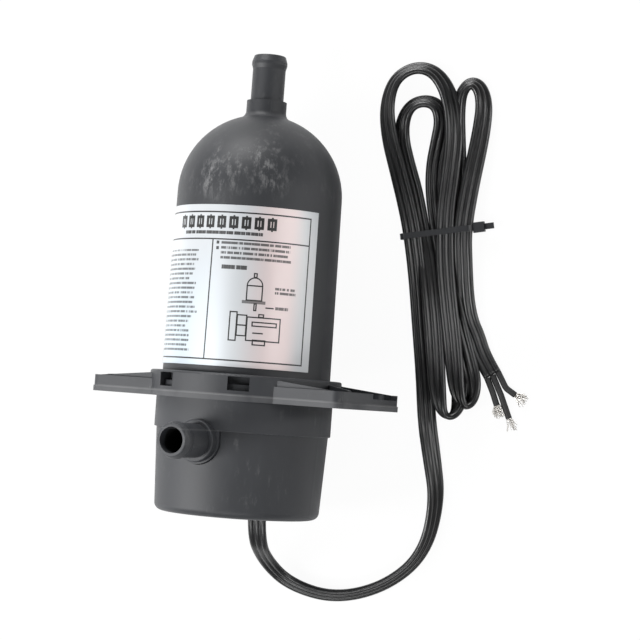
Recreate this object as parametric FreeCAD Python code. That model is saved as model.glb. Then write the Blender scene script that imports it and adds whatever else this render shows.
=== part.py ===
import FreeCAD, Part
import os
from math import acos, asin, atan2, cos, degrees, hypot, radians, sin, sqrt, tan

V = FreeCAD.Vector

# Engine block heater: a tank of coolant on a flanged base with a plug-in element.
# Each piece is drawn upright, up the tank's axis from the bottom of the cover, with
# the inlet towards -Y. One placement at the end lays the heater down as it rests.

# Tank
tank_foot_radius = 43.9
tank_draft = 0.8
tank_wall = 3.0
dome_height = 166.2
neck_radius = 10.5
neck_blend = 4.0
neck_rise = 7.3
lip_width = 2.9
lip_height = 5.6

# Hose spigots, the same on the tank and on the base
spigot_radius = 8.65
spigot_bore = 6.6
bead_radius = 9.3
bead_land = 1.6
bead_ramp = 2.2
bead_nose = 3.4
nose_radius = 8.2
outlet_length = 24.2
inlet_length = 24.5
inlet_height = 37.8
inlet_boss_radius = 10.75
inlet_boss_step = 2.6

# Base
base_floor = 24.0
floor_thick = 4.0
chamber_radius = 39.5
skirt_radius = 46.0
skirt_foot = 43.3
plate_foot = 59.1
plate_thick = 2.9
plate_overhang = 0.6
pad_half_width = 11.7
pad_step = 0.3
post_radius = 3.7
post_inset = 6.5
post_angles = (-150, -30, 90)

# Seal between tank and base
seal_width = 2.6
seal_height = 2.2
seal_corner = 0.9
seal_inset = 0.5
groove_side = 0.2

# Mounting bracket
wing_reach = 23.0
wing_half_width = 35.0
wing_corner = 4.5
wing_floor = 3.0
rim_height = 5.6
rim_thick = 3.0
rim_ledge = 1.2
gusset_rise = 3.2
gusset_inset = 14.0
rib_thick = 2.0
rib_rise = 3.0
rib_end_rise = 0.7
rib_end_inset = 13.0
mouth_near = 1.5
mouth_inset = 4.0
mouth_nose = 3.5
collar_wall = 2.9
collar_height = 10.5
collar_edge = 1.2
lip_clearance = 0.3
tank_clearance = 0.5
window_width = 11.0
window_foot = 2.2
window_tall = 7.0
window_angle = 25.0
bolt_inset = 12.0
bolt_hole_radius = 4.5

# Screws that hold the bracket to the base plate, flush underneath
bracket_screw_inset = 9.0
bracket_screw_radius = 1.75
bracket_screw_head = 3.3
bracket_screw_sink = 1.9
bracket_screw_length = 8.0
bracket_boss_radius = 3.6

# Cover
cover_step = 1.2
cover_taper = 2.0
cover_wall = 2.4
cover_floor = 2.6
cover_edge = 4.0
cover_gap = 0.3
notch_gap = 0.3
cover_screw_radius = 1.6
cover_screw_head = 3.1
cover_screw_sink = 1.8
cover_screw_length = 13.0

# Label
label_thick = 0.25
glue_film = 0.05
label_foot_gap = 3.5
label_top_gap = 8.8
label_angle_from = -74.0
label_angle_to = 74.0

# Heating element
sheath_radius = 4.0
leg_pitch = 16.0
loop_headroom = 20.2
loop_rise = 18.0
seat_drop = 3.0
seat_radius = 20.5
thread_radius = 16.5
thread_stand = 1.5
gasket_thick = 1.5
gasket_radius = 19.5
hex_across = 36.0
hex_tall = 5.0
sheath_start = 5.0
insulator_radius = 3.6
insulator_tall = 3.0
pin_radius = 1.5
pin_drop = 9.0

# Thermostat
thermostat_inset = 9.0
cap_radius = 8.0
cap_tall = 3.0
switch_radius = 6.4
switch_tall = 7.5
clip_length = 32.0
clip_width = 16.0
clip_thick = 1.0
clip_gap = 0.2
clip_screw_side = 12.3
clip_screw_radius = 1.2
clip_screw_head = 2.4
clip_screw_head_tall = 1.6
clip_screw_bite = 2.4
clip_boss_radius = 3.0
tab_side = 3.4
tab_width = 4.8
tab_thick = 0.8
tab_drop = 6.0

# Wires and terminals
wire_radius = 1.0
core_spacing = 3.35
crimp_wall = 0.7
crimp_tall = 4.0
crimp_gap = 0.1
ground_x = 11.0
ground_y = 7.0
ground_screw_radius = 1.9
ground_head_radius = 3.4
ground_head_tall = 2.2
ground_screw_bite = 3.5
ring_thick = 0.8
ring_radius = 3.8

# Cord and its strain relief
cord_width = 10.0
cord_thick = 3.4
gland_y = 22.0
gland_rise = 10.0
gland_flange = 1.2
gland_length = 13.0
gland_depth = 8.0
gland_lip = 1.2
gland_run = 12.0
cord_z = cord_thick / 2
lead_points = [
    (7.0, -149.5, 14.5),
    (19.0, -163.0, cord_z),
    (44.0, -168.0, cord_z),
    (71.5, -158.5, cord_z),
    (91.5, -138.5, cord_z),
    (97.0, -109.0, cord_z),
    (92.0, -85.0, cord_z),
    (88.0, -67.0, cord_z),
]
hank_tall = 9.0
hank_outline = [
    (83.1, -67.0),
    (93.1, -67.0),
    (108.0, -67.0),
    (118.5, -55.0),
    (113.5, -25.0),
    (109.5, 5.0),
    (106.0, 38.0),
    (112.0, 72.0),
    (118.0, 108.0),
    (100.0, 121.0),
    (76.0, 127.0),
    (52.0, 116.0),
    (50.5, 88.0),
    (62.0, 60.0),
    (70.0, 32.0),
    (75.0, 2.0),
    (77.5, -30.0),
]
tail_points = [
    (112.0, -20.0, 2.6),
    (116.0, -31.0, 2.2),
    (122.0, -40.0, cord_z),
]
core_radius = 1.65
core_ends = {
    "line_core_end": [(129.5, -46.5, 1.7), (134.8, -49.9, 1.7)],
    "neutral_core_end": [(122.6, -49.2, 1.7), (125.2, -56.0, 1.7)],
    "ground_core_end": [(127.2, -50.6, 1.7), (132.1, -62.5, 1.7)],
}
strand_radius = 1.0
strand_length = 7.0

# Cable tie round the hank
tie_centre = (88.2, 34.0)
tie_turn = 10.0
tie_length = 39.5
tie_tall = 9.8
tie_thick = 1.1
tie_width = 3.2
tie_corner = 3.0
tie_head_length = 6.0
tie_head_width = 5.4
tie_head_tall = 4.6
tie_tail_length = 5.0

# Radii and reaches that follow from the sizes above
tank_top_radius = tank_foot_radius - tank_draft
lip_radius = tank_foot_radius + lip_width
groove_radius = tank_foot_radius - seal_inset
pad_radius = skirt_radius - pad_step
cover_top_radius = skirt_radius - cover_step
cover_foot_radius = cover_top_radius - cover_taper
post_circle = chamber_radius - post_inset
thermostat_side = chamber_radius - thermostat_inset
inlet_tip = skirt_radius + inlet_length
collar_radius = lip_radius + lip_clearance + collar_wall
wing_half_length = collar_radius + wing_reach
bolt_reach = wing_half_length - bolt_inset
gusset_start = collar_radius - gusset_inset
rib_end_side = wing_half_width - rib_end_inset
mouth_far = wing_half_width - mouth_inset

# Heights that follow
plate_top = plate_foot + plate_thick
lip_top = plate_top + lip_height
rim_top = plate_top + rim_height
wing_top = plate_top + wing_floor
collar_top = plate_top + collar_height
neck_top = dome_height + tank_top_radius + neck_rise
outlet_tip = neck_top + outlet_length
label_foot = collar_top + label_foot_gap
label_top = dome_height - label_top_gap
loop_top = dome_height - loop_headroom
loop_foot = base_floor + floor_thick + loop_rise
head_foot = base_floor - seat_drop - gasket_thick - hex_tall
pin_foot = head_foot - pin_drop
switch_foot = base_floor - cap_tall - switch_tall
upright = V(0, 0, 1)


def corner_arc(before, at, after, radius):
    """Start, middle and end of the arc of this radius inside the corner at a point."""
    back = (before - at).normalize()
    ahead = (after - at).normalize()
    half = back.getAngle(ahead) / 2
    reach = radius / tan(half)
    inward = (back + ahead).normalize()
    middle = at + inward * (radius / sin(half) - radius)
    return at + back * reach, middle, at + ahead * reach


def rounded(points, radii, closed=True):
    """Wire through the points, each corner rounded to its own radius."""
    count = len(points)
    edges = []
    ends = []
    for i, point in enumerate(points):
        inside = closed or 0 < i < count - 1
        if inside and radii[i] > 0:
            ends.append(corner_arc(points[i - 1], point, points[(i + 1) % count], radii[i]))
        else:
            ends.append((point, None, point))
    for i in range(count):
        start, middle, end = ends[i]
        if middle is not None:
            edges.append(Part.Arc(start, middle, end).toShape())
        if i + 1 < count or closed:
            following = ends[(i + 1) % count][0]
            if end.distanceToPoint(following) > 1e-6:
                edges.append(Part.LineSegment(end, following).toShape())
    return Part.Wire(edges)


def turned(profile, start=0.0, sweep=360.0):
    """Solid turned about the tank's axis from (radius, height, corner radius) rows."""
    points = [V(r, 0, z) for r, z, _ in profile]
    face = Part.Face(rounded(points, [corner for _, _, corner in profile]))
    solid = face.revolve(V(0, 0, 0), upright, sweep)
    solid.rotate(V(0, 0, 0), upright, start)
    return solid


def tube(radius, foot, top, x=0.0, y=0.0):
    return Part.makeCylinder(radius, top - foot, V(x, y, foot))


def block(low, high):
    size = V(*high) - V(*low)
    return Part.makeBox(size.x, size.y, size.z, V(*low))


def slab(half_length, half_width, corner, foot, top):
    """Rectangle with round corners, standing on a height."""
    corners = [(-1, -1), (1, -1), (1, 1), (-1, 1)]
    points = [V(sx * half_length, sy * half_width, foot) for sx, sy in corners]
    return Part.Face(rounded(points, [corner] * 4)).extrude(V(0, 0, top - foot))


def at_angle(shape, angle):
    turned_shape = shape.copy()
    turned_shape.rotate(V(0, 0, 0), upright, angle)
    return turned_shape


def swept(section, path, level=False):
    pipe = Part.BRepOffsetAPI.MakePipeShell(path)
    if level:
        pipe.setBiNormalMode(upright)
    pipe.add(section)
    pipe.build()
    pipe.makeSolid()
    return pipe.shape()


def round_wire_solid(points, radius, bend):
    """Round rod along a route, every corner bent to one radius."""
    path = rounded(points, [bend] * len(points), closed=False)
    section = Part.Wire(Part.Circle(points[0], points[1] - points[0], radius).toShape())
    return swept(section, path)


def spigot_profile(root, tip):
    """Outside of a hose spigot from its root to its tip, as profile rows."""
    land_top = tip - bead_nose
    land_foot = land_top - bead_land
    return [
        (spigot_radius, root, 0),
        (spigot_radius, land_foot - bead_ramp, 0.8),
        (bead_radius, land_foot, 0.5),
        (bead_radius, land_top, 0.5),
        (nose_radius, tip, 0.8),
    ]


def tank_radius(height):
    share = (height - plate_top) / (dome_height - plate_top)
    return tank_foot_radius + (tank_top_radius - tank_foot_radius) * share


def domed(foot, foot_radius, ball, neck, blend, neck_end):
    """Cone, half ball and neck as one turned solid, with a blend at the neck."""
    reach = ball + blend
    centre = V(neck + blend, 0, dome_height + sqrt(reach ** 2 - (neck + blend) ** 2))
    hub = V(0, 0, dome_height)
    on_ball = hub + (centre - hub).normalize() * ball
    on_neck = V(neck, 0, centre.z)
    rim = V(ball, 0, dome_height)
    ball_middle = hub + ((rim - hub).normalize() + (on_ball - hub).normalize()).normalize() * ball
    to_ball = (on_ball - centre).normalize()
    to_neck = (on_neck - centre).normalize()
    blend_middle = centre + (to_ball + to_neck).normalize() * blend
    low = V(0, 0, foot)
    high = V(0, 0, neck_end)
    edges = [
        Part.LineSegment(low, V(foot_radius, 0, foot)).toShape(),
        Part.LineSegment(V(foot_radius, 0, foot), rim).toShape(),
        Part.Arc(rim, ball_middle, on_ball).toShape(),
        Part.Arc(on_ball, blend_middle, on_neck).toShape(),
        Part.LineSegment(on_neck, V(neck, 0, neck_end)).toShape(),
        Part.LineSegment(V(neck, 0, neck_end), high).toShape(),
        Part.LineSegment(high, low).toShape(),
    ]
    return Part.Face(Part.Wire(edges)).revolve(V(0, 0, 0), upright, 360)


def tank():
    outside = domed(plate_top, tank_foot_radius, tank_top_radius, neck_radius, neck_blend, neck_top)
    spigot = turned([(0, neck_top, 0)] + spigot_profile(neck_top, outlet_tip) + [(0, outlet_tip, 0)])
    lip = turned([
        (0, plate_top, 0),
        (lip_radius, plate_top, 0),
        (lip_radius, lip_top, 0.6),
        (0, lip_top, 0),
    ])
    inside = domed(plate_top, tank_foot_radius - tank_wall, tank_top_radius - tank_wall,
                   spigot_bore, neck_blend, outlet_tip)
    return outside.fuse([spigot, lip]).cut(inside).removeSplitter()


def tank_seal():
    inner = groove_radius - seal_width / 2
    outer = groove_radius + seal_width / 2
    foot = plate_top - seal_height
    return turned([
        (inner, foot, seal_corner),
        (outer, foot, seal_corner),
        (outer, plate_top, seal_corner),
        (inner, plate_top, seal_corner),
    ])


def wing_gusset(side):
    """Rib on a long edge of the bracket that falls from the collar to the corners."""
    outer = wing_half_width - rim_ledge
    inner = wing_half_width - rim_thick
    run = wing_half_length - wing_corner
    points = [
        V(-run, inner, wing_top),
        V(run, inner, wing_top),
        V(run, inner, rim_top),
        V(gusset_start, inner, rim_top + gusset_rise),
        V(-gusset_start, inner, rim_top + gusset_rise),
        V(-run, inner, rim_top),
    ]
    gusset = Part.Face(rounded(points, [0] * 6)).extrude(V(0, outer - inner, 0))
    if side < 0:
        gusset = gusset.mirror(V(0, 0, 0), V(0, 1, 0))
    return gusset


def wing_rib(side):
    """Slanting rib from the middle of the collar to the near half of the end rim."""
    root = V(side * (collar_radius - collar_edge), 0, wing_top)
    end = V(side * (wing_half_length - rim_thick / 2), -rib_end_side, wing_top)
    along = end - root
    across = along.cross(upright).normalize() * rib_thick
    points = [
        root,
        end,
        V(end.x, end.y, rim_top + rib_end_rise),
        V(root.x, root.y, rim_top + rib_rise),
    ]
    face = Part.Face(rounded(points, [0] * 4))
    face.translate(across * -0.5)
    return face.extrude(across)


def wing_mouth(side):
    """Opening in the end rim of a wing, and the round nose beside it."""
    inner = wing_half_length - rim_thick - 1
    low = V(inner, mouth_near, wing_top)
    high = V(wing_half_length + 1, mouth_far, collar_top)
    gap = block(low, high)
    nose = tube(mouth_nose, plate_top, rim_top, wing_half_length - mouth_nose, mouth_near)
    if side < 0:
        gap = gap.mirror(V(0, 0, 0), V(1, 0, 0))
        nose = nose.mirror(V(0, 0, 0), V(1, 0, 0))
    return gap, nose


def window(angle):
    inner = tank_foot_radius - 2
    foot = plate_top + window_foot
    outer = collar_radius + 2
    half = window_width / 2
    cut = block((-half, -outer, foot), (half, -inner, foot + window_tall))
    return at_angle(cut, angle)


def bolt_holes(foot, top):
    return [tube(bolt_hole_radius, foot, top, side * bolt_reach) for side in (-1, 1)]


def bracket_screw_places():
    x = wing_half_length - bracket_screw_inset
    y = wing_half_width - bracket_screw_inset
    return [(sx * x, sy * y) for sx in (-1, 1) for sy in (-1, 1)]


def mounting_bracket():
    floor = slab(wing_half_length, wing_half_width, wing_corner, plate_top, wing_top)
    rim = slab(wing_half_length, wing_half_width, wing_corner, plate_top, rim_top)
    hollow = slab(wing_half_length - rim_thick, wing_half_width - rim_thick,
                  wing_corner - rim_thick, wing_top, collar_top)
    rim = rim.cut(hollow)
    noses = []
    for side in (-1, 1):
        gap, nose = wing_mouth(side)
        rim = rim.cut(gap)
        noses.append(nose)
    collar = turned([
        (0, plate_top, 0),
        (collar_radius, plate_top, 0),
        (collar_radius, collar_top, collar_edge),
        (0, collar_top, 0),
    ])
    bosses = [tube(bracket_boss_radius, wing_top - 0.5, rim_top, x, y)
              for x, y in bracket_screw_places()]
    added = [rim, collar] + noses + bosses
    added += [wing_gusset(side) for side in (-1, 1)]
    added += [wing_rib(side) for side in (-1, 1)]
    bracket = floor.fuse(added)
    pocket = tube(lip_radius + lip_clearance, plate_top - 1, lip_top)
    throat = tube(tank_foot_radius + tank_clearance, plate_top - 1, collar_top + 1)
    pilot_top = plate_foot + bracket_screw_length
    pilots = [tube(bracket_screw_radius, plate_top - 1, pilot_top, x, y)
              for x, y in bracket_screw_places()]
    angles = (window_angle, -window_angle, 180 - window_angle, 180 + window_angle)
    cuts = [pocket, throat] + pilots + [window(angle) for angle in angles]
    cuts += bolt_holes(plate_top - 1, wing_top + 1)
    return bracket.cut(cuts).removeSplitter()


def screw(x, y, foot, shank, head, sink, length):
    """Countersunk screw driven upwards, its flat head level with a height."""
    points = [
        V(0, 0, 0),
        V(head, 0, 0),
        V(shank, 0, sink),
        V(shank, 0, length),
        V(0, 0, length),
    ]
    body = Part.Face(rounded(points, [0] * 5)).revolve(V(0, 0, 0), upright, 360)
    body.translate(V(x, y, foot))
    return body


def bracket_screws():
    return [screw(x, y, plate_foot, bracket_screw_radius, bracket_screw_head,
                  bracket_screw_sink, bracket_screw_length)
            for x, y in bracket_screw_places()]


def lying(shape):
    """Turn a solid drawn up the axis so that it points to the inlet side at its height."""
    turned_shape = shape.copy()
    turned_shape.rotate(V(0, 0, 0), V(1, 0, 0), 90)
    turned_shape.translate(V(0, 0, inlet_height))
    return turned_shape


def inlet_outside():
    root = skirt_radius + inlet_boss_step
    rows = [(0, chamber_radius - 1, 0), (inlet_boss_radius, chamber_radius - 1, 0)]
    rows += [(inlet_boss_radius, root, 0.8)]
    rows += spigot_profile(root, inlet_tip)
    rows += [(0, inlet_tip, 0)]
    return lying(turned(rows))


def inlet_bore():
    reach = inlet_tip + 1
    return lying(tube(spigot_bore, chamber_radius - 6, reach))


def arch(half_width, near, far, top):
    """Upright arch round the inlet's axis, open towards the top."""
    disc = lying(tube(half_width, near, far))
    above = block((-half_width, -far, inlet_height), (half_width, -near, top))
    return disc.fuse(above)


def cover_radius(height):
    return cover_foot_radius + (cover_top_radius - cover_foot_radius) * height / skirt_foot


def post_places():
    return [(post_circle * cos(radians(a)), post_circle * sin(radians(a))) for a in post_angles]


def base_manifold():
    inner_skirt = cover_radius(base_floor) - cover_wall - cover_gap
    body = turned([
        (0, base_floor, 0),
        (inner_skirt, base_floor, 0),
        (inner_skirt, skirt_foot, 0),
        (skirt_radius, skirt_foot, 0.5),
        (skirt_radius, plate_foot + 1, 0),
        (0, plate_foot + 1, 0),
    ])
    plate = slab(wing_half_length + plate_overhang, wing_half_width, wing_corner,
                 plate_foot, plate_top)
    disc = tube(collar_radius, plate_foot, plate_top)
    pad = arch(pad_half_width, chamber_radius, pad_radius + 2, skirt_foot + 1)
    pad = pad.common(tube(pad_radius, 0, plate_foot))
    seat = tube(seat_radius, base_floor - seat_drop, base_floor + 1)
    posts = [tube(post_radius, cover_floor, base_floor + 1, x, y) for x, y in post_places()]
    clip_bosses = [tube(clip_boss_radius, base_floor - cap_tall, base_floor + 1,
                        side * clip_screw_side, -thermostat_side) for side in (-1, 1)]
    base = body.fuse([plate, disc, pad, seat, inlet_outside()] + posts + clip_bosses)
    chamber = turned([
        (0, base_floor + floor_thick, 0),
        (chamber_radius, base_floor + floor_thick, 3.0),
        (chamber_radius, plate_top + 1, 0),
        (0, plate_top + 1, 0),
    ])
    groove = tube(groove_radius + seal_width / 2 + groove_side, plate_top - seal_height, plate_top + 1)
    groove = groove.cut(tube(groove_radius - seal_width / 2 - groove_side, plate_foot, plate_top + 1))
    cuts = [chamber, groove, inlet_bore()]
    cuts.append(tube(thread_radius, base_floor - seat_drop - 1, base_floor + floor_thick + 1))
    cuts += bolt_holes(plate_foot - 1, plate_top + 1)
    cuts += bracket_screws()
    cuts += [tube(cover_screw_radius, cover_floor - 1, cover_screw_length, x, y)
             for x, y in post_places()]
    clip_top = base_floor - cap_tall + clip_screw_bite
    cuts += [tube(clip_screw_radius, base_floor - cap_tall - 1, clip_top,
                  side * clip_screw_side, -thermostat_side) for side in (-1, 1)]
    return base.cut(cuts).removeSplitter()


def gland_slot(foot, top):
    """Round-ended slot with the cord's own section, level as the heater lies."""
    corners = [(-1, -1), (1, -1), (1, 1), (-1, 1)]
    points = [V(sx * cord_width / 2, sy * cord_thick / 2, foot) for sx, sy in corners]
    slot = Part.Face(rounded(points, [cord_thick * 0.49] * 4)).extrude(V(0, 0, top - foot))
    slot.rotate(V(0, 0, 0), upright, degrees(resting_turns()[1]))
    slot.translate(V(0, gland_y, 0))
    return slot


def gland_block(half_length, half_width, foot, top):
    centre = V(0, gland_y, foot)
    corners = [(-1, -1), (1, -1), (1, 1), (-1, 1)]
    points = [centre + V(sx * half_length, sy * half_width, 0) for sx, sy in corners]
    corner = half_width * 0.6
    return Part.Face(rounded(points, [corner] * 4)).extrude(V(0, 0, top - foot))


def strain_relief():
    half_length = gland_length / 2
    half_width = gland_depth / 2
    body = gland_block(half_length, half_width, 0, gland_rise)
    flange = gland_block(half_length + gland_lip, half_width + gland_lip,
                         cover_floor, cover_floor + gland_flange)
    return body.fuse(flange).cut(gland_slot(-1, gland_rise + 1)).removeSplitter()


def cover_screws():
    return [screw(x, y, 0, cover_screw_radius, cover_screw_head,
                  cover_screw_sink, cover_screw_length) for x, y in post_places()]


def bottom_cover():
    outside = turned([
        (0, 0, 0),
        (cover_foot_radius, 0, cover_edge),
        (cover_top_radius, skirt_foot, 0),
        (0, skirt_foot, 0),
    ])
    inside = turned([
        (0, cover_floor, 0),
        (cover_radius(cover_floor) - cover_wall, cover_floor, cover_edge - cover_wall),
        (cover_radius(skirt_foot + 1) - cover_wall, skirt_foot + 1, 0),
        (0, skirt_foot + 1, 0),
    ])
    notch = arch(pad_half_width + notch_gap, chamber_radius, cover_top_radius + 4, skirt_foot + 1)
    opening = gland_block(gland_length / 2, gland_depth / 2, -1, cover_floor + 1)
    return outside.cut([inside, notch, opening] + cover_screws()).removeSplitter()


def label():
    foot = tank_radius(label_foot) + glue_film
    top = tank_radius(label_top) + glue_film
    section = [
        (foot, label_foot, 0),
        (foot + label_thick, label_foot, 0),
        (top + label_thick, label_top, 0),
        (top, label_top, 0),
    ]
    span = label_angle_to - label_angle_from
    return turned(section, label_angle_from - 90, span)


def leg(side_x, side_y):
    return V(side_x * leg_pitch / 2, side_y * leg_pitch / 2, 0)


def element_sheath():
    """Tube folded twice: up, over, down, across, up, over and down again."""
    foot = head_foot + sheath_start - 1
    top = loop_top - leg_pitch / 2
    low = loop_foot + leg_pitch / 2
    bend = leg_pitch / 2
    legs = [leg(-1, -1), leg(-1, 1), leg(1, 1), leg(1, -1)]
    levels = [(foot, top), (top, low), (low, top), (top, foot)]
    edges = []
    for i in range(4):
        start, end = levels[i]
        at = legs[i]
        edges.append(Part.LineSegment(at + upright * start, at + upright * end).toShape())
        if i < 3:
            following = legs[i + 1]
            turn = bend if end == top else -bend
            peak = (at + following) * 0.5 + upright * (end + turn)
            edges.append(Part.Arc(at + upright * end, peak, following + upright * end).toShape())
    section = Part.Wire(Part.Circle(legs[0] + upright * foot, upright, sheath_radius).toShape())
    return swept(section, Part.Wire(edges))


def end_legs():
    return [leg(-1, -1), leg(1, -1)]


def element_head():
    """Hexagon with a round thread that screws into the floor of the base."""
    corner = hex_across / 2 / cos(radians(30))
    points = [V(corner * cos(radians(60 * i)), corner * sin(radians(60 * i)), head_foot)
              for i in range(6)]
    hexagon = Part.Face(rounded(points, [0] * 6)).extrude(V(0, 0, hex_tall))
    thread = tube(thread_radius, head_foot, base_floor + floor_thick + thread_stand)
    head = hexagon.fuse(thread)
    cuts = []
    for at in end_legs():
        cuts.append(tube(sheath_radius, head_foot + sheath_start - 1, loop_foot, at.x, at.y))
        cuts.append(tube(pin_radius, head_foot - 1, head_foot + sheath_start - 1, at.x, at.y))
    bite = head_foot + ground_screw_bite
    cuts.append(tube(ground_screw_radius, head_foot - 1, bite, ground_x, ground_y))
    return head.cut(cuts).removeSplitter()


def element_gasket():
    foot = base_floor - seat_drop - gasket_thick
    top = base_floor - seat_drop
    return tube(gasket_radius, foot, top).cut(tube(thread_radius, foot - 1, top + 1))


def element_insulators():
    rings = []
    for at in end_legs():
        collar = tube(insulator_radius, head_foot - insulator_tall, head_foot, at.x, at.y)
        hole = tube(pin_radius, head_foot - insulator_tall - 1, head_foot + 1, at.x, at.y)
        rings.append(collar.cut(hole))
    return rings


def element_pins():
    top = head_foot + sheath_start - 1
    return [tube(pin_radius, pin_foot, top, at.x, at.y) for at in end_legs()]


def thermostat_cap():
    return tube(cap_radius, base_floor - cap_tall, base_floor, 0, -thermostat_side)


def thermostat_body():
    return tube(switch_radius, switch_foot, base_floor - cap_tall, 0, -thermostat_side)


def thermostat_clip():
    top = base_floor - cap_tall
    half = clip_length / 2
    centre = V(0, -thermostat_side, top - clip_thick)
    corners = [(-1, -1), (1, -1), (1, 1), (-1, 1)]
    points = [centre + V(sx * half, sy * clip_width / 2, 0) for sx, sy in corners]
    plate = Part.Face(rounded(points, [clip_width / 3] * 4)).extrude(V(0, 0, clip_thick))
    cuts = [tube(switch_radius + clip_gap, top - 2, top + 1, 0, -thermostat_side)]
    cuts += [tube(clip_screw_radius, top - 2, top + 1, side * clip_screw_side, -thermostat_side)
             for side in (-1, 1)]
    return plate.cut(cuts)


def thermostat_screws():
    top = base_floor - cap_tall
    head_top = top - clip_thick
    screws = []
    for side in (-1, 1):
        x = side * clip_screw_side
        shank = tube(clip_screw_radius, head_top, top + clip_screw_bite, x, -thermostat_side)
        head = tube(clip_screw_head, head_top - clip_screw_head_tall, head_top, x, -thermostat_side)
        screws.append(shank.fuse(head).removeSplitter())
    return screws


def thermostat_terminals():
    tabs = []
    for side in (-1, 1):
        x = side * tab_side
        low = (x - tab_thick / 2, -thermostat_side - tab_width / 2, switch_foot - tab_drop)
        high = (x + tab_thick / 2, -thermostat_side + tab_width / 2, switch_foot)
        tabs.append(block(low, high))
    return tabs


def tab_crimps():
    """Push-on terminals on the thermostat's tabs."""
    crimps = []
    for side in (-1, 1):
        x = side * tab_side
        half = tab_thick / 2
        width = tab_width / 2
        foot = switch_foot - tab_drop
        outer = block((x - half - crimp_wall, -thermostat_side - width - crimp_wall, foot),
                      (x + half + crimp_wall, -thermostat_side + width + crimp_wall, foot + crimp_tall))
        inner = block((x - half, -thermostat_side - width, foot - 1),
                      (x + half, -thermostat_side + width, foot + crimp_tall + 1))
        crimps.append(outer.cut(inner))
    return crimps


def pin_crimps():
    """Round crimps on the element's pins."""
    crimps = []
    for at in end_legs():
        outer = tube(pin_radius + crimp_wall, pin_foot, pin_foot + crimp_tall, at.x, at.y)
        inner = tube(pin_radius, pin_foot - 1, pin_foot + crimp_tall + 1, at.x, at.y)
        crimps.append(outer.cut(inner))
    return crimps


def ground_ring():
    """Ring terminal under the ground screw, with a tongue towards the cord."""
    foot = head_foot - ring_thick
    ring = tube(ring_radius, foot, head_foot, ground_x, ground_y)
    tongue = block((ground_x - wire_radius, ground_y, foot),
                   (ground_x + wire_radius, ground_y + ring_radius + 2, head_foot))
    hole = tube(ground_screw_radius, foot - 1, head_foot + 1, ground_x, ground_y)
    return ring.fuse(tongue).cut(hole).removeSplitter()


def wire_terminals():
    return tab_crimps() + pin_crimps() + [ground_ring()]


def ground_screw():
    foot = head_foot - ring_thick - ground_head_tall
    head = tube(ground_head_radius, foot, head_foot - ring_thick, ground_x, ground_y)
    shank = tube(ground_screw_radius, foot, head_foot + ground_screw_bite, ground_x, ground_y)
    return head.fuse(shank).removeSplitter()


def wire(points):
    return round_wire_solid([V(*p) for p in points], wire_radius, wire_radius * 1.6)


def internal_wires():
    start = gland_rise
    lift = head_foot - wire_radius * 2.4
    tab_z = switch_foot - tab_drop + crimp_tall / 2
    tab_y = -thermostat_side + tab_width / 2 + crimp_wall + crimp_gap
    pin_z = pin_foot + crimp_tall / 2
    pin_reach = pin_radius + crimp_wall + crimp_gap
    near, far = end_legs()
    ring_z = head_foot - ring_thick - wire_radius - crimp_gap
    outside = near.x - pin_reach - wire_radius * 3
    mid_y = gland_y / 2
    return {
        "line_wire": wire([
            (-core_spacing, gland_y, start),
            (-core_spacing, gland_y, lift),
            (outside / 2, mid_y + 4, lift),
            (outside, 2, (lift + tab_z) / 2),
            (outside, near.y - 6, tab_z),
            (-tab_side, tab_y + 6, tab_z),
            (-tab_side, tab_y, tab_z),
        ]),
        "neutral_wire": wire([
            (0, gland_y, start),
            (0, gland_y, lift),
            (near.x / 2, mid_y, lift),
            (near.x, near.y + pin_reach + 7, pin_z),
            (near.x, near.y + pin_reach, pin_z),
        ]),
        "ground_wire": wire([
            (core_spacing, gland_y, start),
            (core_spacing, gland_y, ring_z),
            (ground_x - 3, ground_y + ring_radius + 5, ring_z),
            (ground_x, ground_y + ring_radius + 0.5, ring_z),
        ]),
        "link_wire": wire([
            (tab_side, tab_y, tab_z),
            (tab_side, tab_y + 6, tab_z),
            (far.x, far.y - pin_reach - 6, pin_z),
            (far.x, far.y - pin_reach, pin_z),
        ]),
    }


def resting_turns():
    """Tilt towards the dome and roll about the axis at which the heater lies still."""
    edge_height = collar_top - collar_edge
    edge_reach = collar_radius - collar_edge
    rise = dome_height - edge_height
    tilt = atan2(edge_reach, rise) - asin((tank_top_radius - collar_edge) / hypot(rise, edge_reach))
    lift = tank_top_radius + dome_height * sin(tilt)
    drop = (lift - rim_top * sin(tilt)) / cos(tilt)
    across = wing_half_length - wing_corner
    down = wing_half_width - wing_corner
    roll = atan2(across, down) - acos((drop - wing_corner) / hypot(across, down))
    return tilt, roll, lift


def resting_place(pieces):
    """Placement that lays the heater down, centred over the origin."""
    tilt, roll, lift = resting_turns()
    lay = FreeCAD.Rotation(V(1, 0, 0), -90)
    turn = FreeCAD.Rotation(V(0, 1, 0), -degrees(roll))
    nod = FreeCAD.Rotation(V(1, 0, 0), -degrees(tilt))
    place = FreeCAD.Placement(V(0, 0, lift), nod.multiply(turn).multiply(lay))
    whole = Part.makeCompound([laid(shape, place) for shape in pieces])
    box = whole.optimalBoundingBox(False, False)
    shift = V(-box.Center.x, -box.Center.y, 0)
    return FreeCAD.Placement(shift, FreeCAD.Rotation()).multiply(place)


def laid(shape, place):
    moved = shape.copy()
    moved.Placement = place.multiply(moved.Placement)
    return moved


def free_radii(points):
    """Bend radius at each corner of a cord's route, as large as its runs allow."""
    radii = [0.0]
    for i in range(1, len(points) - 1):
        back = points[i] - points[i - 1]
        ahead = points[i + 1] - points[i]
        turn = back.getAngle(ahead)
        radii.append(0.45 * min(back.Length, ahead.Length) / tan(turn / 2))
    return radii + [0.0]


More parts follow.
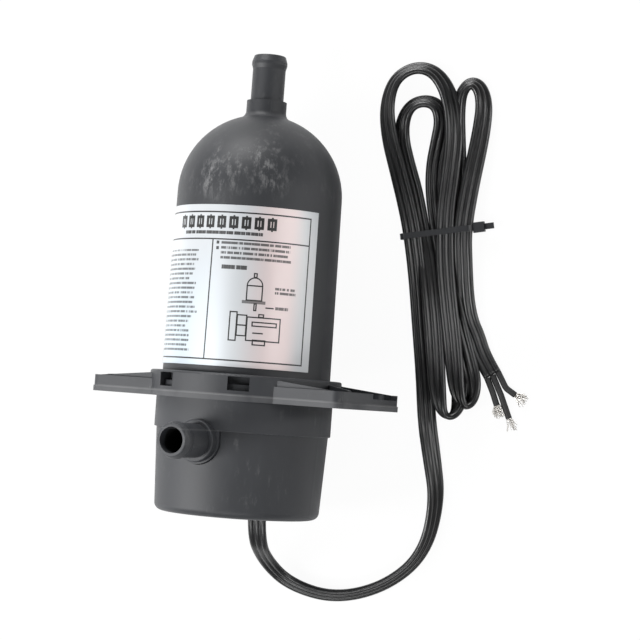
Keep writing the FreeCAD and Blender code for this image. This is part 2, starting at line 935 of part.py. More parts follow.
def flat_cord(points):
    """Cord of the flat section along a route, its wide side kept level."""
    radii = free_radii(points)
    print("bend radii", [round(r, 1) for r in radii[1:-1]])
    path = rounded(points, radii, closed=False)
    ahead = (points[1] - points[0]).normalize()
    side = ahead.cross(upright).normalize()
    up = side.cross(ahead).normalize()
    corners = [(-1, -1), (1, -1), (1, 1), (-1, 1)]
    section = [points[0] + side * (sx * cord_width / 2) + up * (sy * cord_thick / 2)
               for sx, sy in corners]
    solid = swept(rounded(section, [cord_thick * 0.49] * 4), path, level=True)
    print("cord length", round(path.Length, 1), "volume", round(solid.Volume, 1))
    return solid


def tie_ring(length, tall, foot, corner):
    """Closed band shape across the hank, as a prism of the tie's width."""
    half = length / 2
    points = [V(-half, 0, foot), V(half, 0, foot), V(half, 0, foot + tall), V(-half, 0, foot + tall)]
    band = Part.Face(rounded(points, [corner] * 4))
    band.translate(V(0, -tie_width / 2, 0))
    return tie_placed(band.extrude(V(0, tie_width, 0)))


def tie_placed(shape):
    shape.rotate(V(0, 0, 0), upright, tie_turn)
    shape.translate(V(tie_centre[0], tie_centre[1], 0))
    return shape


def tie_outer():
    return tie_ring(tie_length, tie_tall, 0, tie_corner)


def tie_inner():
    inner_length = tie_length - 2 * tie_thick
    return tie_ring(inner_length, tie_tall - 2 * tie_thick, tie_thick, tie_corner - tie_thick)


def cable_tie():
    half = tie_length / 2
    width = tie_head_width / 2
    mid = tie_tall / 2
    head = block((half - 0.01, -width, mid - tie_head_tall / 2),
                 (half + tie_head_length, width, mid + tie_head_tall / 2))
    start = half + tie_head_length
    tail = block((start - 0.01, -tie_width / 2, mid - tie_thick / 2),
                 (start + tie_tail_length, tie_width / 2, mid + tie_thick / 2))
    band = tie_outer().cut(tie_inner())
    return band.fuse([tie_placed(head), tie_placed(tail)]).removeSplitter()


def cord_hank():
    """Outer shape of the tied hank, pinched where the tie goes round it."""
    points = [V(x, y, 0) for x, y in hank_outline]
    count = len(points)
    radii = [0.0, 0.0]
    for i in range(2, count):
        back = points[i] - points[i - 1]
        ahead = points[(i + 1) % count] - points[i]
        radii.append(0.42 * min(back.Length, ahead.Length) / tan(back.getAngle(ahead) / 2))
    flat = Part.Face(rounded(points, radii)).extrude(V(0, 0, hank_tall))
    reach = tie_length
    cut = tie_placed(block((-reach, -tie_width / 2, -1), (reach, tie_width / 2, hank_tall + 2)))
    return flat.cut(cut).fuse(tie_inner()).removeSplitter()


def cord_pieces(place):
    inner_end = place.multVec(V(0, gland_y, gland_rise))
    outer_end = place.multVec(V(0, gland_y, -gland_run))
    print("cord leaves from", inner_end, "by way of", outer_end)
    lead = [inner_end, outer_end] + [V(*p) for p in lead_points]
    tail = [V(*p) for p in tail_points]
    hank = cord_hank()
    pieces = {
        "cord_lead": flat_cord(lead).cut(hank),
        "cord_hank": hank,
        "cord_tail": flat_cord(tail).cut(hank),
        "cable_tie": cable_tie(),
    }
    split = tail[-1]
    across = (tail[-1] - tail[-2]).normalize().cross(upright).normalize()
    strands = []
    for offset, (name, points) in zip((1, -1, 0), core_ends.items()):
        root = split - across * (offset * core_spacing)
        route = [root] + [V(*p) for p in points]
        core = round_wire_solid(route, core_radius, core_radius * 4)
        pieces[name] = core.cut(pieces["cord_tail"])
        ahead = (route[-1] - route[-2]).normalize()
        strands.append(Part.makeCylinder(strand_radius, strand_length, route[-1], ahead))
    pieces["core_strands"] = Part.makeCompound(strands)
    return pieces


def heater_pieces():
    pieces = {
        "tank": tank(),
        "tank_seal": tank_seal(),
        "mounting_bracket": mounting_bracket(),
        "base_manifold": base_manifold(),
        "bottom_cover": bottom_cover(),
        "label": label(),
        "element_sheath": element_sheath(),
        "element_head": element_head(),
        "element_gasket": element_gasket(),
        "element_insulators": Part.makeCompound(element_insulators()),
        "element_pins": Part.makeCompound(element_pins()),
        "thermostat_cap": thermostat_cap(),
        "thermostat_body": thermostat_body(),
        "thermostat_clip": thermostat_clip(),
        "thermostat_screws": Part.makeCompound(thermostat_screws()),
        "thermostat_terminals": Part.makeCompound(thermostat_terminals()),
        "wire_terminals": Part.makeCompound(wire_terminals()),
        "ground_screw": ground_screw(),
        "strain_relief": strain_relief(),
        "cover_screws": Part.makeCompound(cover_screws()),
        "bracket_screws": Part.makeCompound(bracket_screws()),
    }
    pieces.update(internal_wires())
    return pieces


def main():
    os.makedirs("parts", exist_ok=True)
    upright_pieces = heater_pieces()
    place = resting_place(upright_pieces.values())
    pieces = {name: laid(shape, place) for name, shape in upright_pieces.items()}
    pieces.update(cord_pieces(place))
    for name, shape in pieces.items():
        shape.exportStep("parts/" + name + ".step")
        print(name, len(shape.Solids), round(shape.Volume, 1), shape.isValid())
    print("axis foot", place.multVec(V(0, 0, 0)), "axis", place.Rotation.multVec(upright))
    print("inlet side", place.Rotation.multVec(V(0, -1, 0)))


main()
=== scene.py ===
import math
import random

import bpy
from mathutils import Matrix, Vector


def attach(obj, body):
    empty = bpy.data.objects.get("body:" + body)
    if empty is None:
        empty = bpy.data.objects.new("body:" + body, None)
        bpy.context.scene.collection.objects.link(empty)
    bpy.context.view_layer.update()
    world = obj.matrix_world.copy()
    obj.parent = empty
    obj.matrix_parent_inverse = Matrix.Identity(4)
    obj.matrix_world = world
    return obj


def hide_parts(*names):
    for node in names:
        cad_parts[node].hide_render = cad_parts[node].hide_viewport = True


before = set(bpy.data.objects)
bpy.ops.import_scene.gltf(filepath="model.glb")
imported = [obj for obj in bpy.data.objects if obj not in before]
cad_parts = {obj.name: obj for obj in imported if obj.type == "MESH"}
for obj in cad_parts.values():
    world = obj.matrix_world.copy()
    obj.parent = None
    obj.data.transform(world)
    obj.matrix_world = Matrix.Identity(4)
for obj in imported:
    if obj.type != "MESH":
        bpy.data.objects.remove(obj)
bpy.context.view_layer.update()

draws = random.Random(7)
MM = 0.001

# Where the heater lies, in the row frame: foot of its axis, the way up its axis, towards
# its inlet and to its side, and the middle of its inlet's mouth.
FOOT = Vector((0.0, -0.11896909, 0.05496599))
UP_AXIS = Vector((0.0, 0.99744806, -0.07139584))
TO_INLET = Vector((-0.23540170, 0.06938949, 0.96941794))
TO_SIDE = Vector((0.97189816, 0.0168067, 0.23480097))
INLET_MOUTH = Vector((-0.01560713, -0.07666503, 0.11653964))


# Shader maths

class Field:
    """A value that varies over a surface, to be worked on as a Python number."""

    def __init__(self, finish, socket):
        self.finish = finish
        self.socket = socket

    def math(self, operation, *others):
        inputs = {0: self}
        for place, other in enumerate(others, 1):
            inputs[place] = other
        return self.finish.node("Math", {"operation": operation}, inputs)

    def __add__(self, other):
        return self.math("ADD", other)

    def __sub__(self, other):
        return self.math("SUBTRACT", other)

    def __mul__(self, other):
        return self.math("MULTIPLY", other)

    def __truediv__(self, other):
        return self.math("DIVIDE", other)

    def __gt__(self, other):
        return self.math("GREATER_THAN", other)

    def __lt__(self, other):
        return self.math("LESS_THAN", other)

    def __rsub__(self, other):
        return self.math("MULTIPLY", -1.0) + other

    __radd__ = __add__
    __rmul__ = __mul__

    def repeat(self, step):
        """Place inside each step, from 0 to 1."""
        return (self / step).math("FRACT")

    def either(self, other):
        return self.math("MAXIMUM", other)

    def rise(self, low, high):
        """0 below low, 1 above high and smooth between them."""
        settings = {"interpolation_type": "SMOOTHSTEP", "clamp": True}
        return self.finish.node("MapRange", settings, {0: self, 1: low, 2: high})


class Finish:
    """One named material, built on the shader that Blender gives it."""

    def __init__(self, name):
        self.material = bpy.data.materials.new(name)
        self.material.use_nodes = True
        self.tree = self.material.node_tree
        self.skin = self.tree.nodes["Principled BSDF"]
        self.place = self.node("TexCoord", output="Object")

    def node(self, kind, settings=None, inputs=None, output=0):
        made = self.tree.nodes.new("ShaderNode" + kind)
        for name, value in (settings or {}).items():
            setattr(made, name, value)
        for name, value in (inputs or {}).items():
            self.feed(made.inputs[name], value)
        return Field(self, made.outputs[output])

    def feed(self, socket, value):
        if isinstance(value, Field):
            self.tree.links.new(value.socket, socket)
        else:
            socket.default_value = value

    def set(self, **values):
        for name, value in values.items():
            self.feed(self.skin.inputs[name.replace("_", " ")], value)
        return self

    def grain(self, scale, detail=3.0, rough=0.55, place=None):
        inputs = {"Vector": place or self.place, "Scale": scale, "Detail": detail, "Roughness": rough}
        return self.node("TexNoise", None, inputs)

    def cells(self, scale, place=None):
        inputs = {"Vector": place or self.place, "Scale": scale}
        return self.node("TexVoronoi", {"feature": "F1"}, inputs)

    def blend(self, factor, first, second):
        settings = {"data_type": "RGBA"}
        return self.node("Mix", settings, {0: factor, 6: first, 7: second}, output=2)

    def relief(self, height, distance, strength=1.0):
        inputs = {"Height": height, "Distance": distance, "Strength": strength}
        self.set(Normal=self.node("Bump", None, inputs))
        return self

    def along(self, direction, origin=FOOT):
        """Distance in millimetres from a point along a direction of the heater."""
        dotted = self.node("VectorMath", {"operation": "DOT_PRODUCT"},
                           {0: self.place, 1: tuple(direction)}, output="Value")
        return (dotted - origin.dot(direction)) * 1000.0

    def stretched(self, x, y, z):
        return self.node("VectorMath", {"operation": "MULTIPLY"}, {0: self.place, 1: (x, y, z)})


def grey(level, tint=0.0):
    return (level, level * (1 + tint * 0.3), level * (1 + tint), 1.0)


# Finishes

def moulded(name, dark, light, rough, worn=0.3, scuffed=0.0, pale_lines=(), painted_shade_bore=None):
    """Glass-filled black plastic: fine grain, flow marks, on the dome pale scuffs and, inside the inlet's
    bore, painted shade.
    """
    finish = Finish(name)
    flow = finish.grain(26.0, 4.0, 0.6, finish.stretched(1.0, 0.35, 1.0))
    grain = finish.grain(1500.0, 2.0, 0.6)
    fleck = finish.cells(420.0)
    shade = flow.rise(0.3, 0.75)
    colour = finish.blend(shade, grey(dark, 0.24), grey(light, 0.2))
    dust = (1 - fleck).rise(0.93, 1.0) * finish.grain(90.0).rise(0.5, 0.75) * 0.35
    rub = finish.grain(34.0, 5.0, 0.65).rise(0.5, 0.75)
    hair = finish.grain(260.0, 5.0, 0.75, finish.stretched(1.0, 0.3, 1.0)).rise(0.5, 0.72)
    wear_and_pale_lines = dust.either(rub * hair * worn)
    if scuffed:
        height = finish.along(UP_AXIS)
        belt = height.rise(156.0, 170.0) * (1 - height.rise(196.0, 214.0))
        smear = finish.grain(48.0, 6.0, 0.7, finish.stretched(1.0, 0.55, 1.0)).rise(0.44, 0.66)
        scratch = finish.grain(300.0, 5.0, 0.75, finish.stretched(1.0, 0.4, 1.0)).rise(0.46, 0.66)
        turn = finish.along(TO_SIDE).math("ARCTAN2", finish.along(TO_INLET)) * math.degrees(1.0)
        facing = 1 - (turn - 6.0).math("ABSOLUTE").rise(12.0, 50.0) * 0.8
        wear_and_pale_lines = wear_and_pale_lines.either(belt * facing * smear * scratch * scuffed)
    # Pale lines all round the axis at the listed heights, broken up by noise.
    for low, high, pale in pale_lines:
        height = finish.along(UP_AXIS)
        line = (height > low) * (height < high)
        wear_and_pale_lines = wear_and_pale_lines.either(line * finish.grain(45.0, 4.0).rise(0.25, 0.6) * pale)
    # Painted shade: the inside of the inlet's bore is coloured near-black to stand in for the shade that
    # falls down it.
    if painted_shade_bore:
        across = finish.along(TO_SIDE, painted_shade_bore)
        up = finish.along(UP_AXIS, painted_shade_bore)
        inside = (across * across + up * up < 6.7 ** 2) * (finish.along(TO_INLET, painted_shade_bore) < -0.6)
        colour = finish.blend(inside, colour, grey(0.003))
    finish.set(Base_Color=finish.blend(wear_and_pale_lines, colour, grey(0.16, 0.02)))
    finish.set(Roughness=rough + flow * 0.12 + grain * 0.06 + wear_and_pale_lines * 0.2)
    finish.set(Specular_IOR_Level=0.45)
    return finish.relief(grain * 0.6 + flow * 2.0 + fleck * 0.5, 0.00005, 0.5).material


def rubber(name, level, rough=0.62):
    finish = Finish(name)
    bloom = finish.grain(60.0, 4.0, 0.6)
    grain = finish.grain(1900.0, 2.0)
    colour = finish.blend(bloom.rise(0.35, 0.8), grey(level, 0.03), grey(level * 1.7 + 0.004, 0.03))
    finish.set(Base_Color=colour, Roughness=rough + bloom * 0.12, Specular_IOR_Level=0.4)
    return finish.relief(grain, 0.00004, 0.5).material


def coloured_wire(name, deep, pale):
    finish = Finish(name)
    bloom = finish.grain(140.0, 4.0, 0.6)
    finish.set(Base_Color=finish.blend(bloom.rise(0.3, 0.75), deep, pale))
    finish.set(Roughness=0.42 + bloom * 0.15)
    return finish.relief(finish.grain(1500.0), 0.00003, 0.4).material


def metal(name, deep, pale, rough, brushed=(1.0, 1.0, 0.08)):
    finish = Finish(name)
    stain = finish.grain(120.0, 5.0, 0.6)
    lines = finish.grain(2200.0, 3.0, 0.6, finish.stretched(*brushed))
    finish.set(Base_Color=finish.blend(stain.rise(0.3, 0.75), deep, pale), Metallic=1.0)
    finish.set(Roughness=rough + lines * 0.18 + stain * 0.08)
    return finish.relief(lines, 0.00002, 0.35).material


def cord_jacket():
    """Extruded cord jacket: near-black, with a fine grain, a soft bloom and powdery specks."""
    finish = Finish("cord_jacket")
    bloom = finish.grain(70.0, 5.0, 0.6)
    speck = finish.cells(650.0)
    grain = finish.grain(1700.0, 2.0)
    powder = (1 - speck).rise(0.94, 1.0) * bloom.rise(0.45, 0.7) * 0.4
    colour = finish.blend(bloom.rise(0.3, 0.75), grey(0.006, 0.08), grey(0.014, 0.08))
    finish.set(Base_Color=finish.blend(powder, colour, grey(0.13)))
    finish.set(Roughness=0.22 + bloom * 0.12 + grain * 0.06, Specular_IOR_Level=0.55)
    return finish.relief(grain + bloom * 1.5, 0.00004, 0.4).material


# Label, printed in lines, bars and outlines on silver foil

class Print:
    """Shapes of ink on the label, placed by angle in degrees and height in millimetres."""

    def __init__(self, finish):
        side = finish.along(TO_SIDE)
        inward = finish.along(TO_INLET)
        self.finish = finish
        self.angle = side.math("ARCTAN2", inward) * math.degrees(1.0)
        self.height = finish.along(UP_AXIS)
        self.ink = None

    def box(self, left, right, low, high):
        across = (self.angle > left) * (self.angle < right)
        return across * (self.height > low) * (self.height < high)

    def add(self, mask, strength=1.0):
        mask = mask * strength
        self.ink = mask if self.ink is None else self.ink.either(mask)

    def outline(self, left, right, low, high, line=0.66, strength=1.0):
        turn = line * 1.32
        inner = self.box(left + turn, right - turn, low + line, high - line)
        self.add(self.box(left, right, low, high) - inner, strength)

    def dome(self, middle, foot, wide, tall, line=0.66):
        """Upper half of an oval's outline."""
        across = (self.angle - middle) / wide
        up = (self.height - foot) / tall
        far = across * across + up * up
        self.add((far < 1.0) * (far > (1 - line / tall) ** 2) * (self.height > foot))

    def rule_across(self, left, right, at, line=0.7):
        self.add(self.box(left, right, at - line / 2, at + line / 2))

    def rule_up(self, at, low, high, line=0.95):
        self.add(self.box(at - line / 2, at + line / 2, low, high))

    def bars(self, left, right, low, high, step, share, word, strength=0.6):
        """Rows of short broken bars, as a page of print looks from far off."""
        row = (self.height - low).repeat(step)
        rows = (row > (1 - share) / 2) * (row < (1 + share) / 2)
        line = ((self.height - low) / step).math("FLOOR")
        at = self.finish.node("CombineXYZ", None, {0: self.angle / word, 1: line * 7.3})
        broken = self.finish.grain(1.0, 2.0, 0.7, at).rise(0.38, 0.46)
        end = self.finish.node("CombineXYZ", None, {0: line * 3.7})
        ragged = right - self.finish.grain(1.0, 0.0, 0.5, end) * (right - left) * 0.35
        self.add(self.box(left, right, low, high) * rows * broken * (self.angle < ragged), strength)


def label_foil():
    finish = Finish("label_foil_printed")
    ink = Print(finish)
    ink.outline(-71.0, 67.8, 78.8, 154.0, 0.75)
    ink.rule_across(-71.0, 67.8, 139.9)
    ink.rule_up(-0.9, 79.0, 139.9)
    for place in range(9):
        left = -33.0 + place * 8.6
        ink.outline(left, left + 6.4, 145.6, 151.6, 1.5)
        ink.add(ink.box(left + 2.6, left + 3.9, 145.0, 152.2))
    ink.bars(-27.0, 46.0, 142.0, 144.4, 2.4, 0.7, 1.3, 0.95)
    for height in (138.2, 135.4):
        ink.add(ink.box(2.0, 4.0, height - 0.8, height + 0.8), 0.95)
    ink.bars(5.6, 64.0, 129.4, 139.4, 2.5, 0.52, 1.2, 0.85)
    ink.bars(7.0, 28.0, 124.6, 127.4, 2.8, 0.75, 2.6, 0.92)
    ink.bars(-62.0, -4.0, 82.0, 134.4, 2.42, 0.48, 1.2, 0.8)
    # Line drawing of a vessel over an engine block
    ink.outline(25.0, 36.0, 109.6, 117.6)
    ink.dome(30.5, 117.2, 5.5, 4.4)
    ink.outline(29.2, 31.8, 121.2, 123.8)
    ink.add(ink.box(22.6, 38.2, 108.2, 109.8), 0.75)
    ink.outline(30.4, 32.6, 104.6, 108.6)
    ink.rule_across(38.4, 44.0, 106.6)
    ink.bars(45.0, 56.0, 105.6, 107.8, 2.2, 0.7, 2.2, 0.85)
    ink.bars(44.0, 62.0, 113.4, 117.6, 2.1, 0.6, 1.6, 0.85)
    ink.outline(15.0, 20.5, 89.0, 104.0)
    ink.outline(20.0, 27.0, 91.6, 102.6)
    ink.outline(26.5, 49.5, 89.4, 101.8)
    ink.outline(30.0, 47.0, 96.8, 99.4)
    ink.outline(31.0, 40.0, 87.4, 90.4)
    ink.outline(34.0, 38.0, 101.4, 103.4)
    ink.rule_across(20.6, 26.8, 97.2)
    ink.rule_across(31.0, 38.0, 93.6)

    angle = ink.angle
    height = ink.height
    wave = finish.grain(18.0, 2.0, 0.5, finish.stretched(1.0, 0.4, 1.0))
    foil = finish.blend(wave.rise(0.3, 0.7), (0.46, 0.48, 0.50, 1), (0.60, 0.61, 0.62, 1))
    cool = (1 - angle.rise(-30.0, 30.0)) * (1 - height.rise(90.0, 150.0)) * 0.55
    foil = finish.blend(cool, foil, (0.40, 0.50, 0.57, 1))
    rosy = angle.rise(18.0, 44.0) * (1 - angle.rise(52.0, 66.0)) * 0.6
    foil = finish.blend(rosy, foil, (0.74, 0.56, 0.54, 1))
    finish.set(Base_Color=finish.blend(ink.ink, foil, grey(0.012)))
    fine = finish.grain(900.0, 3.0)
    finish.set(Roughness=0.34 + wave * 0.12 + fine * 0.05, Metallic=0.22 - ink.ink * 0.2)
    finish.set(Coat_Weight=0.25, Coat_Roughness=0.25)
    return finish.relief(wave * 2.0 + fine * 0.3, 0.00006, 0.35).material


body = moulded("body_plastic", 0.019, 0.030, 0.42, worn=0.7, pale_lines=((61.9, 62.5, 0.35),))
dome = moulded("tank_plastic", 0.017, 0.028, 0.43, scuffed=1.0)
# The base's inlet bore is given painted shade.
base = moulded("base_plastic", 0.022, 0.034, 0.47, worn=0.45, painted_shade_bore=INLET_MOUTH,
               pale_lines=((59.0, 62.1, 0.26), (61.5, 62.1, 0.6), (43.2, 43.8, 0.25)))
cover = moulded("cover_plastic", 0.020, 0.031, 0.46, worn=0.5)
jacket = cord_jacket()
core_rubber = rubber("core_rubber", 0.014, 0.5)
soft_rubber = rubber("seal_rubber_soft", 0.018)
tie_nylon = moulded("tie_nylon", 0.012, 0.019, 0.3)
foil = label_foil()
steel = metal("drawn_steel", (0.42, 0.42, 0.43, 1), (0.60, 0.60, 0.61, 1), 0.32)
zinc = metal("zinc_plate", (0.50, 0.52, 0.54, 1), (0.68, 0.69, 0.70, 1), 0.28)
brass = metal("bare_brass", (0.55, 0.40, 0.18, 1), (0.76, 0.60, 0.32, 1), 0.3)
pressed = metal("pressed_aluminium", (0.66, 0.66, 0.67, 1), (0.82, 0.82, 0.83, 1), 0.3)
tinned = metal("tinned_wire", (0.62, 0.60, 0.57, 1), (0.86, 0.84, 0.81, 1), 0.24, (1.0, 0.1, 1.0))
switch_resin = moulded("switch_resin", 0.05, 0.08, 0.45)
ceramic = coloured_wire("pin_ceramic", (0.68, 0.65, 0.58, 1), (0.84, 0.82, 0.77, 1))
white_wire = coloured_wire("wire_skin_white", (0.60, 0.60, 0.57, 1), (0.78, 0.78, 0.76, 1))
green_wire = coloured_wire("wire_skin_green", (0.02, 0.18, 0.05, 1), (0.05, 0.30, 0.10, 1))

node_finishes = {
    "tank": dome, "mounting_bracket": body, "base_manifold": base, "bottom_cover": cover,
    "label": foil, "tank_seal": soft_rubber, "strain_relief": soft_rubber,
    "element_gasket": soft_rubber, "element_sheath": steel, "element_pins": steel,
    "element_head": brass, "thermostat_terminals": brass, "wire_terminals": brass,
    "element_insulators": ceramic, "thermostat_cap": pressed, "thermostat_body": switch_resin,
    "thermostat_clip": zinc, "thermostat_screws": zinc, "ground_screw": zinc,
    "cover_screws": zinc, "bracket_screws": zinc, "line_wire": core_rubber,
    "link_wire": core_rubber, "neutral_wire": white_wire, "ground_wire": green_wire,
    "line_core_end": core_rubber, "neutral_core_end": core_rubber,
    "ground_core_end": core_rubber, "cable_tie": tie_nylon,
}
for node, finish in node_finishes.items():
    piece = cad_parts[node]
    if not piece.material_slots:
        piece.data.materials.append(finish)
    for slot in piece.material_slots:
        slot.link = "OBJECT"
        slot.material = finish


# Cord

# Route of the whole cord: x, y, z in millimetres and its roll in degrees, with 0 where
# its wide side lies level.
lead = [
    (5.18, -110.52, 32.92, 0), (5.18, -132.47, 34.50, 0), (6.6, -148.5, 14.5, 24),
    (18.5, -161.5, 4.7, 42), (44.0, -166.5, 5.2, 54), (71.3, -157.5, 5.6, 62),
    (91.5, -138.5, 5.6, 64), (97.0, -109.0, 5.2, 50), (92.0, -85.0, 3.8, 26),
    (88.0, -67.0, 2.0, 4),
]
first_loop = [
    (85.5, -42, 2.2, 0), (82, -15, 3.2, 0), (79, 10, 4.6, 0), (75.4, 31.7, 6.2, 0),
    (71.5, 47, 6.4, -6), (65.5, 66, 6.6, -14), (59.5, 84, 6.8, -26), (57.2, 100, 7.2, -38),
    (60.5, 114, 7.4, -50), (70, 121, 7.4, -58), (80.5, 120.4, 7.4, -56),
    (88.5, 112.5, 7.2, -44), (93.5, 99, 7, -28), (95, 84, 6.9, -14), (94, 66, 6.7, -6),
    (92.6, 50, 6.4, 0), (92.5, 34.8, 6.2, 0), (93.8, 18, 7.2, 0), (96.5, 0, 8.2, 0),
    (100, -20, 8.3, 0), (102.3, -36, 8.1, 4),
    (104.2, -49, 7.6, 30), (107, -56, 6.9, 60), (110.6, -58, 5.8, 90), (112.8, -53.5, 5.2, 125),
    (112.4, -45, 4.7, 155), (109.6, -36, 4.4, 175), (105, -22, 5, 180),
]
second_loop = [
    (99.5, -4, 5, 180), (94, 16, 4, 180), (89.4, 34.2, 2.8, 180), (85.5, 52, 2.6, 184),
    (84.5, 68, 2.8, 194), (86.5, 82, 3.6, 206), (88, 93, 4.8, 222), (85, 101.5, 5.3, 235),
    (78, 104, 5.3, 238), (70.5, 101.5, 5.3, 234), (66.3, 94, 4.8, 222), (65.5, 83, 3.6, 206),
    (69, 70, 3.4, 194), (74.4, 54, 2.9, 184), (79.6, 32.4, 2.8, 180), (83.9, 18, 4.8, 180),
    (87, 2, 7, 180), (90.2, -18, 8, 180), (92.5, -38, 7.9, 184), (94.2, -52, 7.4, 205),
    (96.6, -61, 6.9, 238), (100.6, -64.2, 6.2, 268), (104.4, -61, 5.3, 300),
    (105.6, -53, 3.7, 335), (104.5, -40, 2, 358),
]
third_loop = [
    (103.2, -20, 1.9, 360), (102.2, 0, 1.9, 360), (100.8, 18, 2.2, 360), (99.4, 36, 2.8, 360),
    (98, 52, 2.4, 356), (97, 68, 2.6, 348), (96, 84, 3.4, 336), (95.6, 98, 4.4, 320),
    (97, 109, 5.2, 306), (101.5, 114.5, 5.4, 302), (107, 112, 5.4, 306),
    (109.8, 103, 5.2, 318), (109, 90, 4.6, 332), (107, 76, 4.4, 344), (104.5, 60, 4.8, 352),
    (102, 36.4, 6.2, 360), (103.4, 18, 5.4, 360), (105.2, 0, 4.4, 360), (108, -12, 3.6, 360),
]
tail = [(112, -20, 2.8, 360), (116, -31, 2.3, 360), (122, -40, 1.75, 360)]
route = lead + first_loop + second_loop + third_loop + tail
cord_width = 10.0 * MM
cord_thick = 3.4 * MM
ridge_step = 3.3 * MM
web_half = 0.75 * MM


def flowing(points, steps=12):
    """Points along the NURBS spline that these control points pull."""
    curve = bpy.data.curves.new("route", "CURVE")
    curve.dimensions = "3D"
    spline = curve.splines.new("NURBS")
    spline.points.add(len(points) - 1)
    for place, point in zip(spline.points, points):
        place.co = (*point, 1.0)
    spline.order_u = 3
    spline.use_endpoint_u = True
    spline.resolution_u = steps
    carrier = bpy.data.objects.new("route", curve)
    mesh = bpy.data.meshes.new_from_object(carrier)
    line = [vertex.co.copy() for vertex in mesh.vertices]
    bpy.data.objects.remove(carrier)
    bpy.data.curves.remove(curve)
    bpy.data.meshes.remove(mesh)
    return line


def three_ridges(steps=42):
    """Half-section of the flat cord as pairs of across and height, ridge by ridge."""
    half = cord_width / 2
    radius = cord_thick / 2
    upper = []
    for step in range(steps + 1):
        across = -half * math.cos(math.pi * step / steps)
        tall = 0.0
        for ridge in (-ridge_step, 0.0, ridge_step):
            tall = max(tall, math.sqrt(max(0.0, radius ** 2 - (across - ridge) ** 2)))
        if abs(across) < ridge_step:
            tall = max(tall, web_half)
        upper.append((across, tall))
    lower = [(across, -tall) for across, tall in reversed(upper[1:-1])]
    return upper + lower


def tube_mesh(name, rings):
    """Mesh through rings of points, closed at both ends."""
    count = len(rings[0])
    points = [point for ring in rings for point in ring]
    faces = []
    for ring in range(len(rings) - 1):
        for place in range(count):
            here = ring * count + place
            side = ring * count + (place + 1) % count
            faces.append((here, side, side + count, here + count))
    faces.append(tuple(reversed(range(count))))
    faces.append(tuple(range(len(points) - count, len(points))))
    return points, faces


def add_piece(name, shapes, finish):
    points = []
    faces = []
    for more, sides in shapes:
        start = len(points)
        points += more
        faces += [tuple(start + corner for corner in face) for face in sides]
    mesh = bpy.data.meshes.new(name)
    mesh.from_pydata([tuple(point) for point in points], [], faces)
    mesh.materials.append(finish)
    mesh.validate()
    mesh.shade_smooth()
    piece = bpy.data.objects.new(name, mesh)
    bpy.context.collection.objects.link(piece)
    return piece


def tangents(line):
    last = len(line) - 1
    return [(line[min(i + 1, last)] - line[max(i - 1, 0)]).normalized() for i in range(last + 1)]


def rolled_rings(line, rolls, section):
    level = Vector((0, 0, 1))
    rings = []
    for point, ahead, roll in zip(line, tangents(line), rolls):
        right = ahead.cross(level).normalized()
        above = right.cross(ahead)
        face = above * math.cos(roll) + right * math.sin(roll)
        across = ahead.cross(face)
        rings.append([point + across * a + face * b for a, b in section])
    return rings


cord_line = flowing([Vector(point[:3]) * MM for point in route])
cord_roll = [math.radians(turn.x) for turn in flowing([(point[3], 0.0, 0.0) for point in route])]
cord_rings = rolled_rings(cord_line, cord_roll, three_ridges())
cord = add_piece("flat_cord", [tube_mesh("flat_cord", cord_rings)], jacket)
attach(cord, "root")
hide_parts("cord_lead", "cord_hank", "cord_tail")


# Frayed strands at the ends of the cores

def thread(points, radius, sides=6):
    """Round wire through points, as a tube mesh."""
    section = [(radius * math.cos(2 * math.pi * k / sides), radius * math.sin(2 * math.pi * k / sides))
               for k in range(sides)]
    return tube_mesh("thread", rolled_rings(points, [0.0] * len(points), section))


strand_radius = 0.2 * MM
core_ends = [
    ((134.8, -49.9, 1.7), (0.842, -0.54, 0.0), 32),
    ((125.2, -56.0, 1.7), (0.357, -0.934, 0.0), 32),
    ((132.1, -62.5, 1.7), (0.381, -0.925, 0.0), 14),
]
wires = []
for end, heading, count in core_ends:
    end = Vector(end) * MM
    ahead = Vector(heading).normalized()
    side = ahead.cross(Vector((0, 0, 1)))
    for wire in range(count):
        reach = draws.uniform(4.0, 8.0) * MM
        spread = draws.uniform(-1.0, 1.0)
        rise = draws.uniform(-0.6, 1.0)
        root = end - ahead * 0.8 * MM + side * spread * 0.9 * MM
        root.z += rise * 0.6 * MM
        points = [root]
        for share in (0.35, 0.7, 1.0):
            stray = side * (spread * share * 2.6 + draws.uniform(-0.8, 0.8)) * MM
            point = root + ahead * reach * share + stray
            point.z = max(0.35 * MM, root.z + (rise * share * 1.6 + draws.uniform(-0.4, 0.4)) * MM)
            points.append(point)
        wires.append(thread(flowing(points, 4), strand_radius))
strands = add_piece("frayed_strands", wires, tinned)
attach(strands, "root")
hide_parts("core_strands")


# Floor, light and camera

def white_to_camera(tree, shader, share, strength=1.0):
    """Mix a plain white glow into a shader for what the camera sees directly."""
    rays = tree.nodes.new("ShaderNodeLightPath")
    part = tree.nodes.new("ShaderNodeMath")
    part.operation = "MULTIPLY"
    part.inputs[1].default_value = share
    tree.links.new(rays.outputs["Is Camera Ray"], part.inputs[0])
    glow = tree.nodes.new("ShaderNodeEmission")
    glow.inputs["Color"].default_value = (1, 1, 1, 1)
    glow.inputs["Strength"].default_value = strength
    mix = tree.nodes.new("ShaderNodeMixShader")
    tree.links.new(part.outputs[0], mix.inputs[0])
    tree.links.new(shader, mix.inputs[1])
    tree.links.new(glow.outputs[0], mix.inputs[2])
    return mix.outputs[0]


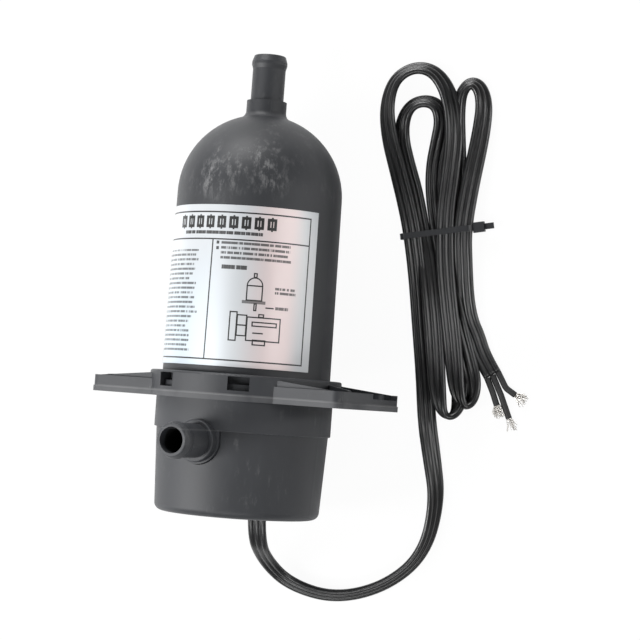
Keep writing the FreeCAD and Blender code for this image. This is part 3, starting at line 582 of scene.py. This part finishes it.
floor_mesh = bpy.data.meshes.new("floor")
reach = 3.0
floor_mesh.from_pydata([(-reach, -reach, 0), (reach, -reach, 0), (reach, reach, 0), (-reach, reach, 0)],
                       [], [(0, 1, 2, 3)])
floor = bpy.data.objects.new("floor", floor_mesh)
bpy.context.collection.objects.link(floor)
paper = Finish("floor_paper")
pulp = paper.grain(300.0, 3.0)
paper.set(Base_Color=paper.blend(pulp, grey(0.86), grey(0.9)), Roughness=0.9, Specular_IOR_Level=0.1)
output = paper.tree.nodes["Material Output"]
paper.tree.links.new(white_to_camera(paper.tree, paper.skin.outputs[0], 0.95), output.inputs[0])
floor_mesh.materials.append(paper.material)

world = bpy.data.worlds.new("studio")
bpy.context.scene.world = world
world.use_nodes = True
sky = world.node_tree.nodes["Background"]
sky.inputs["Color"].default_value = (1, 1, 1, 1)
sky.inputs["Strength"].default_value = 0.15
output = world.node_tree.nodes["World Output"]
glow = white_to_camera(world.node_tree, sky.outputs[0], 1.0)
world.node_tree.links.new(glow, output.inputs[0])


def softbox(name, place, aim, size, power):
    lamp = bpy.data.lights.new(name, "AREA")
    lamp.shape = "RECTANGLE"
    lamp.size = size[0]
    lamp.size_y = size[1]
    lamp.energy = power
    holder = bpy.data.objects.new(name, lamp)
    holder.location = place
    holder.rotation_euler = (Vector(aim) - Vector(place)).to_track_quat("-Z", "Y").to_euler()
    bpy.context.collection.objects.link(holder)


softbox("key_left", (-0.75, -0.25, 0.75), (0.0, -0.02, 0.05), (0.3, 0.9), 14.0)
softbox("fill_right", (0.9, 0.15, 0.45), (0.02, 0.0, 0.05), (0.12, 0.9), 3.0)
softbox("top_front", (0.1, -0.7, 0.9), (0.02, -0.02, 0.05), (0.9, 0.25), 5.0)
softbox("low_back", (-0.3, 0.95, 0.45), (0.0, 0.02, 0.05), (0.7, 0.4), 11.0)

lens = bpy.data.cameras.new("camera")
lens.sensor_width = 36.0
lens.lens = 1980.8 / 640 * 36.0
camera = bpy.data.objects.new("camera", lens)
turn = Matrix.Rotation(0.2396, 4, "Y") @ Matrix.Rotation(-0.0301, 4, "X") @ Matrix.Rotation(0.0563, 4, "Z")
camera.matrix_world = Matrix.Translation((0.28100, 0.01568, 1.04541)) @ turn
bpy.context.collection.objects.link(camera)
bpy.context.scene.camera = camera
bpy.context.scene.view_settings.view_transform = "Standard"
